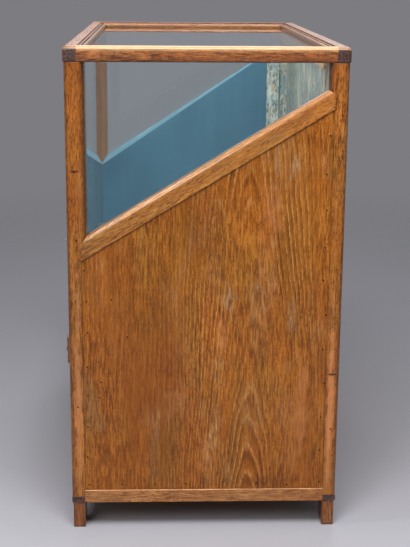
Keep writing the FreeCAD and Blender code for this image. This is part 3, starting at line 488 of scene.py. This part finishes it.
# matt blue cloth, with a painted highlight along an upper edge; an end's lined board is papered beside the doors
def clothMaterial(name, lining=None):
    material, tree, shader, place = newMaterial(name)
    weave = noise(tree, place, 900, 2, 0.6).outputs["Fac"]
    cloud = noise(tree, vector2(tree, "MULTIPLY", place, (1, 1, 0.25)), 9, 3, 0.5).outputs["Fac"]
    fall = noise(tree, vector2(tree, "MULTIPLY", place, (1, 1, 0.05)), 60, 2, 0.5).outputs["Fac"]
    tone = math2(tree, "ADD", ramp(tree, cloud, 0.3, 0.7, 0, 0.7), ramp(tree, fall, 0.35, 0.65, 0, 0.3))
    colour = mixColor(tree, tone, clothSet["dark"], clothSet["light"])
    colour = mixColor(tree, ramp(tree, weave, 0.35, 0.65, 0, 0.25), colour, clothSet["thread"])
    if lining:
        low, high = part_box(lining)
        rear, top = high[0], high[2]
        frontTop = max(point.co.z for point in nodes[lining].data.vertices if point.co.x < low[0] + 0.001)
        along = axisValue(tree, place, "X")
        level = math2(tree, "MULTIPLY_ADD", math2(tree, "SUBTRACT", along, rear), (frontTop - top) / (rear - low[0]),
                      axisValue(tree, place, "Z"))
        # painted highlight: a pale rim along the board's sloping upper edge
        rim = ramp(tree, level, top - 1.5 * clothSet["edgeWide"], top - 0.5 * clothSet["edgeWide"])
        colour = mixColor(tree, rim, colour, clothSet["edge"])
        # upward faces take the cloth's lighter tone in place of the painted rim
        colour = mixColor(tree, facing(tree, (0, 0, 1)), colour, clothSet["light"])
        papered = math2(tree, "GREATER_THAN", along, clothSet["paperFrom"])
        paper = fillGroup(tree, paperGroup, {"Vector": place})
        colour = mixColor(tree, papered, colour, paper.outputs["Color"])
    put(shader.inputs["Base Color"], colour)
    shader.inputs["Roughness"].default_value = 0.9
    shader.inputs["Specular IOR Level"].default_value = 0.2
    bump = add(tree, "ShaderNodeBump", {"Strength": 0.3, "Distance": 0.0003, "Height": weave})
    put(shader.inputs["Normal"], bump.outputs[0])
    return material


# board with aged paper on its inner face (towards -X)
def paperedMaterial(name):
    material, tree, shader, place = newMaterial(name)
    paper = fillGroup(tree, paperGroup, {"Vector": place})
    wood = fillGroup(tree, oakGroup, {"Vector": place, "Light": oakTones["board"]["light"],
                                      "Middle": oakTones["board"]["middle"], "Dark": oakTones["board"]["dark"]})
    put(shader.inputs["Base Color"], mixColor(tree, facing(tree, (-1, 0, 0), 0.4, 0.6), wood.outputs["Color"],
                                              paper.outputs["Color"]))
    shader.inputs["Roughness"].default_value = 0.75
    bump = add(tree, "ShaderNodeBump", {"Strength": 0.3, "Distance": 0.0004, "Height": paper.outputs["Height"]})
    put(shader.inputs["Normal"], bump.outputs[0])
    return material


def metalMaterial(name, colour, dull, roughness):
    material, tree, shader, place = newMaterial(name)
    blot = noise(tree, place, 140, 4, 0.65).outputs["Fac"]
    put(shader.inputs["Base Color"], mixColor(tree, ramp(tree, blot, 0.4, 0.65), colour, dull))
    put(shader.inputs["Roughness"], ramp(tree, blot, 0.3, 0.7, roughness, roughness + 0.25))
    shader.inputs["Metallic"].default_value = 1.0
    bump = add(tree, "ShaderNodeBump", {"Strength": 0.2, "Distance": 0.0002, "Height": blot})
    put(shader.inputs["Normal"], bump.outputs[0])
    return material


# places on the cabinet that the finishes refer to, from the pieces' own boxes
railLow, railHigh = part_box("near_sloping_rail")
postLow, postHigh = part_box("rear_near_post")
beadLow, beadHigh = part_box("near_top_bead")
topLow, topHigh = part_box("near_top_rail")
frameInside = -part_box("near_end_glass")[1][1]
slopeTilt = math.radians(31.3)  # the sloping rails' rise

# worn and soiled places on the two end panels: centre, half size, strength
nearPanelMarks = {
    "rubs": [((0.021, 0, 0.206), (0.013, 1, 0.065), 1.0), ((0.010, 0, 0.168), (0.010, 1, 0.05), 1.0),
             ((0.040, 0, 0.456), (0.026, 1, 0.034), 0.8), ((0.130, 0, 0.697), (0.010, 1, 0.07), 0.8),
             ((0.162, 0, 0.709), (0.011, 1, 0.035), 0.9), ((0.157, 0, 0.324), (0.009, 1, 0.02), 0.9),
             ((0.160, 0, 0.42), (0.010, 1, 0.05), 0.7), ((0.026, 0, 0.33), (0.012, 1, 0.06), 0.8),
             ((-0.197, 0, 0.210), (0.014, 1, 0.03), 0.5), ((-0.104, 0, 0.225), (0.035, 1, 0.03), 0.3),
             ((-0.057, 0, 0.25), (0.045, 1, 0.05), 0.28), ((-0.195, 0, 0.5), (0.025, 1, 0.06), 0.3),
             ((0.103, 0, 0.46), (0.03, 1, 0.13), 0.5)],
    "bleachedAndSheen": [((0.18, 0, 0.25), (0.022, 1, 0.13), 0.5), ((0.03, 0, 0.4), (0.014, 1, 0.05), 0.5),
                 ((0.0, 0, 0.14), (0.012, 1, 0.05), 0.45), ((0.12, 0, 0.62), (0.03, 1, 0.07), 0.35)],
    "soiled": [((0.002, 0, 0.091), (0.016, 1, 0.02), 0.7), ((-0.192, 0, 0.139), (0.018, 1, 0.02), 0.4),
               ((0.193, 0, 0.177), (0.008, 1, 0.007), 0.7), ((0.12, 0, 0.092), (0.08, 1, 0.02), 0.6),
               ((-0.162, 0, 0.091), (0.04, 1, 0.02), 0.4), ((-0.212, 0, 0.5), (0.02, 1, 0.06), 0.25)],
}


def seededMarks(word, box, count):
    seed = random.Random(word)

    def marks(strength, width, height):
        return [((seed.uniform(box[0][0], box[1][0]), 0, seed.uniform(box[0][2], box[1][2])),
                 (seed.uniform(0.5, 1.5) * width, 1, seed.uniform(0.5, 1.5) * height), seed.uniform(0.5, 1) * strength)
                for number in range(count)]
    return {"rubs": marks(0.8, 0.015, 0.05), "soiled": marks(0.5, 0.02, 0.02)}


def postSides(name):
    return 1 if name.startswith("rear") else -1, -1 if "near" in name else 1


# the pale places on the posts are a painted sheen down the faces and a painted highlight along the top; the dark ones
# are dirt and a mark
def postMarks(side, end):
    inward, outward = side * 0.2385, side * 0.2545
    return {"bleachedAndSheen": [((inward, end * 0.482, 0.24), (0.0085, 0.01, 0.26), 1.0 if side > 0 else 0.75),
                         ((inward, end * 0.482, postHigh[2]), (0.03, 0.01, 0.0022), 0.8),
                         ((outward, end * 0.452, 0.26), (0.01, 0.014, 0.28), 0.6)],
            "soiled": [((outward, end * 0.482, 0.1), (0.02, 0.03, 0.1), 0.35),
                       ((side * 0.24, end * 0.482, 0.697 if side < 0 else 0.31), (0.012, 0.01, 0.0035), 1.4),
                       ((side * 0.242, end * 0.482, 0.702 if side < 0 else 0.316), (0.003, 0.01, 0.009), 0.8)]}


def woodFinish(name, box):
    if name.endswith("_post"):
        side, end = postSides(name)
        # posts: the dark corner rounds and inward sides are painted shade, the dull inner faces a painted reflection
        return dict(postMarks(side, end), tone="frame", heart=(0.12, 0.07, 0), ringWidth=0.004, pores=1.0, stains=0.5,
                    scuffs=0.2, corner=0.7,
                    papered=[(0, -end, 0), (-1, 0, 0)] if side > 0 else (),
                    dull=[(0, -end, 0), (1, 0, 0)] if side < 0 else (), sightShade=(-side, 0, 0))
    # legs: the dark corner rounds and box edges are partly painted shade
    if name.endswith("_leg"):
        return dict(tone="leg", heart=(0.3, 0.25, 0), stains=0.6, pores=0.8, grimeAndShade=(box, 0.006, 0.5), corner=0.4)
    if name == "near_end_panel":
        return dict(nearPanelMarks, tone="panel", heart=(0.085, -0.4695, 0.75), lean=(0, 0), taper=0.14, figure=0.95,
                    ringWidth=0.0095, scuffs=0.3, stains=0.2, pores=0.4, fibre=1.05,
                    grimeAndShade=(box, 0.006, 0.2), gloss=0.2)
    if name == "far_end_panel":
        return dict(seededMarks(name, box, 9), tone="panel", heart=(-0.07, 0.4695, 0.6), lean=(0, 0), taper=0.12, figure=0.95,
                    ringWidth=0.0095, scuffs=0.3, stains=0.2, pores=0.4, fibre=1.05,
                    grimeAndShade=(box, 0.006, 0.2), gloss=0.2)
    # sloping rails: the dark top by the glass is painted shade, and the rubbed round partly a painted highlight
    if name.endswith("sloping_rail"):
        return dict(tone="rail", grain="x", tilt=slopeTilt, figure=0.9, ringWidth=0.007, scuffs=0.2, stains=0.2,
                    rubbedAndHighlight=0.12, upward=0.35, gloss=1.0, pores=0.8, coatRoughness=0.08, slopeTopShade=slopeTilt)
    # the pale top edge of the bottom rails is partly a painted highlight
    if name in ("near_bottom_rail", "far_bottom_rail"):
        return dict(tone="base", grain="x", scuffs=0.3, stains=0.2, pores=0.7, rubbedAndHighlight=0.15)
    if name.endswith("bottom_bearer"):
        return dict(tone="leg", grain="y", endGrain=(0, 1, 0))
    # top rails: the pale rubbed edges are partly a painted highlight, and the darker bottom is painted shade
    if name in ("front_top_rail", "rear_top_rail"):
        return dict(tone="top", grain="y", endGrain=(0, 1, 0), gloss=0.3, coatRoughness=0.3, rubbedAndHighlight=0.3, fibre=1.3, pores=0.7,
                    darkBelow=(topLow[2] + 0.02, topLow[2], 0.4))
    # the pale top of the face and the rubbed edges are partly painted highlight; the darker bottom is painted shade
    if name in ("near_top_rail", "far_top_rail"):
        return dict(tone="top", grain="x", gloss=0.35, rubbedAndHighlight=0.25, upward=0.3, pores=0.9, stains=0.6, figure=1.0, fibre=1.5,
                    paintedHighlightAbove=("Y", -topLow[1] - 0.012, topHigh[2] - 0.012, topHigh[2], 0.75),
                    darkBelow=(topLow[2] + 0.016, topLow[2], 0.6))
    # beads: the dark groove and the dark bottom edge are painted shade
    if name.endswith("_top_bead"):
        across = "X" if name.startswith(("front", "rear")) else "Y"
        outer = beadHigh[0] if across == "X" else -beadLow[1]
        spread = 0 if across == "X" else 0.0035
        return dict(tone="bead", grain="y" if across == "X" else "x", gloss=0.5,
                    grooveShade=(across, outer - 0.0078 - spread, outer - 0.0042 + spread),
                    darkBelow=(beadLow[2] + 0.0036, beadLow[2] + 0.0026, 0.75))
    if name.endswith("_stile"):
        return dict(tone="frame", pores=0.8)
    if name.endswith("_track"):
        return dict(tone="board", grain="y", gloss=0.05)
    if name == "front_middle_rail":
        return dict(tone="frame", grain="y", pores=0.8, lined=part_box("front_glass")[1][0])
    if name.endswith("_rail"):
        return dict(tone="frame", grain="y", pores=0.8)
    if name == "flap_board":
        return dict(tone="panel", grain="y", heart=(0.2, 0.1, 0), figure=0.8, grimeAndShade=(box, 0.01, 0.3),
                    bleachedAndSheen=[((box[0][0], 0, 0.34), (0.02, 0.12, 0.05), 0.4)])
    if name in ("deck_board", "floor_board", "rear_lower_panel"):
        return dict(tone="board", grain="y", gloss=0.05)
    if name.endswith("turn_button"):
        return dict(tone="leg", scuffs=0.1, stains=0.9)
    if name == "flap_knob":
        return dict(tone="leg", grain="x", scuffs=0.2)
    return None


def finishWood():
    for name, piece in nodes.items():
        settings = woodFinish(name, [tuple(corner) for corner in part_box(name)])
        if settings:
            setMaterial(piece, oakMaterial(name + "Oak", **settings))


def finishRest():
    glass = glassMaterial()
    cloth = clothMaterial("deckCloth")
    brass = metalMaterial("dullBrass", linear(176, 140, 78), linear(96, 72, 40), 0.3)
    steel = metalMaterial("agedSteel", linear(110, 104, 98), linear(58, 48, 42), 0.4)
    for name, piece in nodes.items():
        if name.endswith("glass"):
            setMaterial(piece, glass)
        elif name.endswith("lining"):
            setMaterial(piece, clothMaterial(name + "Cloth", name))
        elif name == "deck_cloth":
            setMaterial(piece, cloth)
        elif name.endswith("pull"):
            setMaterial(piece, brass)
        elif name.startswith("flap_hinge") or name == "turn_button_screws":
            setMaterial(piece, steel)
    setMaterial(nodes["near_door_board"], paperedMaterial("nearPaper"))
    setMaterial(nodes["far_door_board"], paperedMaterial("farPaper"))


finishWood()
finishRest()
print("finishes set")


# nails: small round heads, a little sunk and domed, one piece for each board they hold
nailSet = {"radius": 0.0016, "proud": 0.0003, "sunk": 0.0009, "sides": 10, "inset": 0.0006, "dome": 0.0003}


def makeNailHead():
    bpy.ops.object.select_all(action="DESELECT")
    depth = nailSet["proud"] + nailSet["sunk"]
    bpy.ops.mesh.primitive_cylinder_add(vertices=nailSet["sides"], radius=nailSet["radius"], depth=depth,
                                        location=(0, 0, depth / 2 - nailSet["sunk"]))
    head = bpy.context.object
    bpy.ops.object.mode_set(mode="EDIT")
    bpy.ops.mesh.select_all(action="DESELECT")
    bpy.ops.object.mode_set(mode="OBJECT")
    for face in head.data.polygons:
        face.select = face.normal.z > 0.9
    bpy.ops.object.mode_set(mode="EDIT")
    bpy.ops.mesh.inset(thickness=nailSet["inset"])
    bpy.ops.transform.translate(value=(0, 0, nailSet["dome"]))
    bpy.ops.object.mode_set(mode="OBJECT")
    bpy.ops.object.transform_apply(location=True, rotation=True, scale=True)
    return head


def nailRow(start, end, count, jitter, seed):
    step = (Vector(end) - Vector(start)) / (count - 1)
    return [Vector(start) + number * step + Vector([seed.uniform(-jitter, jitter) for axis in range(3)])
            for number in range(count)]


def makeNails(name, head, places, direction, plane, material):
    axis = [abs(value) for value in direction].index(1)
    turn = Vector(direction).to_track_quat("Z", "Y").to_matrix().to_4x4()
    bpy.ops.object.select_all(action="DESELECT")
    for place in places:
        nail = head.copy()
        nail.data = head.data.copy()
        place = Vector(place)
        place[axis] = plane
        nail.data.transform(Matrix.Translation(place) @ turn)
        scene.collection.objects.link(nail)
        nail.select_set(True)
        bpy.context.view_layer.objects.active = nail
    bpy.ops.object.join()
    nails = bpy.context.object
    nails.name = name
    setMaterial(nails, material)
    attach(nails, "case")


def makeAllNails():
    material = metalMaterial("nailSteel", linear(64, 48, 38), linear(34, 24, 18), 0.5)
    head = makeNailHead()
    low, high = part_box("near_end_panel")
    left, right, base = low[0] + 0.007, high[0] - 0.007, low[2] + 0.011
    for end, sign in {"near": -1, "far": 1}.items():
        seed = random.Random(end + "nails")
        places = nailRow((left, 0, base), (left, 0, 0.51), 8, 0.004, seed)
        places += nailRow((right, 0, base), (right, 0, 0.76), 11, 0.004, seed)
        places += nailRow((left + 0.06, 0, base), (right - 0.06, 0, base), 6, 0.004, seed)
        if end == "near":
            places += [Vector(place) for place in ((-0.146, 0, 0.385), (-0.175, 0, 0.457), (-0.2, 0, 0.265),
                                                   (-0.196, 0, 0.296))]
        panelLow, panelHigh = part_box(end + "_end_panel")
        makeNails(end + "PanelNails", head, places, (0, sign, 0), panelLow[1] if sign < 0 else panelHigh[1], material)
        places = [(-0.24, 0, 0.247), (-0.239, 0, 0.696), (-0.237, 0, 0.57), (0.243, 0, 0.80), (0.241, 0, 0.2)]
        makeNails(end + "PostNails", head, places, (0, sign, 0), -sign * postLow[1], material)
    low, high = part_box("rear_lower_panel")
    seed = random.Random("rear nails")
    places = nailRow((0, low[1] + 0.01, low[2] + 0.01), (0, high[1] - 0.01, low[2] + 0.01), 9, 0.004, seed)
    places += nailRow((0, low[1] + 0.01, high[2] - 0.01), (0, high[1] - 0.01, high[2] - 0.01), 9, 0.004, seed)
    makeNails("rearPanelNails", head, places, (1, 0, 0), high[0], material)
    bpy.data.objects.remove(head)


makeAllNails()
print("nails made")


# floor, backdrop colour and lamps
stageSet = {"floorFront": linear(160, 159, 165), "floorRear": linear(113, 112, 117), "frontY": -0.55, "fade": 0.75,
            "backdrop": linear(125, 124, 129), "mirrored": linear(140, 142, 147), "size": 14.0}


def makeFloor():
    bpy.ops.object.select_all(action="DESELECT")
    bpy.ops.mesh.primitive_plane_add(size=stageSet["size"], location=(0, 0, 0))
    floor = bpy.context.object
    floor.name = "floor"
    material, tree, shader, place = newMaterial("floor")
    # the floor runs from pale at the front to darker grey towards the rear: a painted falloff of the lamps' light
    along = add(tree, "ShaderNodeSeparateXYZ", {0: place}).outputs["Y"]
    factor = math2(tree, "EXPONENT", math2(tree, "DIVIDE", math2(tree, "SUBTRACT", stageSet["frontY"], along),
                                           stageSet["fade"]), clamp=True)
    put(shader.inputs["Base Color"], mixColor(tree, factor, stageSet["floorRear"], stageSet["floorFront"]))
    shader.inputs["Roughness"].default_value = 0.9
    shader.inputs["Specular IOR Level"].default_value = 0.1
    reach = vector2(tree, "LENGTH", place)
    clear = tree.nodes.new("ShaderNodeBsdfTransparent")
    mix = add(tree, "ShaderNodeMixShader", {0: ramp(tree, reach, 1.2, 3.4), 1: shader.outputs[0],
                                            2: clear.outputs[0]})
    out = [node for node in tree.nodes if node.type == "OUTPUT_MATERIAL"][0]
    tree.links.new(mix.outputs[0], out.inputs["Surface"])
    setMaterial(floor, material)


def makeWorld():
    world = bpy.data.worlds.new("studio")
    world.use_nodes = True
    scene.world = world
    tree = world.node_tree
    tree.nodes.clear()
    path = tree.nodes.new("ShaderNodeLightPath").outputs
    seen = math2(tree, "MAXIMUM", math2(tree, "MAXIMUM", path["Is Camera Ray"], path["Is Glossy Ray"]),
                 path["Is Transmission Ray"])
    ambient = add(tree, "ShaderNodeBackground", {"Color": (0.95, 0.97, 1, 1), "Strength": 0.26})
    colour = mixColor(tree, path["Is Glossy Ray"], stageSet["backdrop"], stageSet["mirrored"])
    backdrop = add(tree, "ShaderNodeBackground", {"Color": colour, "Strength": 1.0})
    mix = add(tree, "ShaderNodeMixShader", {0: seen, 1: ambient.outputs[0], 2: backdrop.outputs[0]})
    out = tree.nodes.new("ShaderNodeOutputWorld")
    tree.links.new(mix.outputs[0], out.inputs["Surface"])


lamps = {
    "main": {"place": (0, -1.65, 3.1), "aim": (0, -0.3, 0.5), "size": (1.6, 1.2), "watts": 114},
    "side": {"place": (-1.36, -2.72, 2.2), "aim": (0, -0.4, 0.6), "size": (1.1, 1.2), "watts": 32},
    "rim": {"place": (-1.62, -0.73, 2.46), "aim": (-0.13, -0.48, 0.6), "size": (0.12, 0.6), "watts": 11},
    "rear": {"place": (0.3, 2.5, 2.7), "aim": (0, 0.3, 0.5), "size": (2.0, 1.4), "watts": 60},
}


def makeLamps():
    for name, lamp in lamps.items():
        data = bpy.data.lights.new(name, "AREA")
        data.shape = "RECTANGLE"
        data.size, data.size_y = lamp["size"]
        data.energy = lamp["watts"]
        light = bpy.data.objects.new(name, data)
        light.location = lamp["place"]
        light.rotation_mode = "QUATERNION"
        light.rotation_quaternion = (Vector(lamp["aim"]) - Vector(lamp["place"])).to_track_quat("-Z", "Y")
        scene.collection.objects.link(light)


makeFloor()
makeWorld()
makeLamps()
print("stage set")
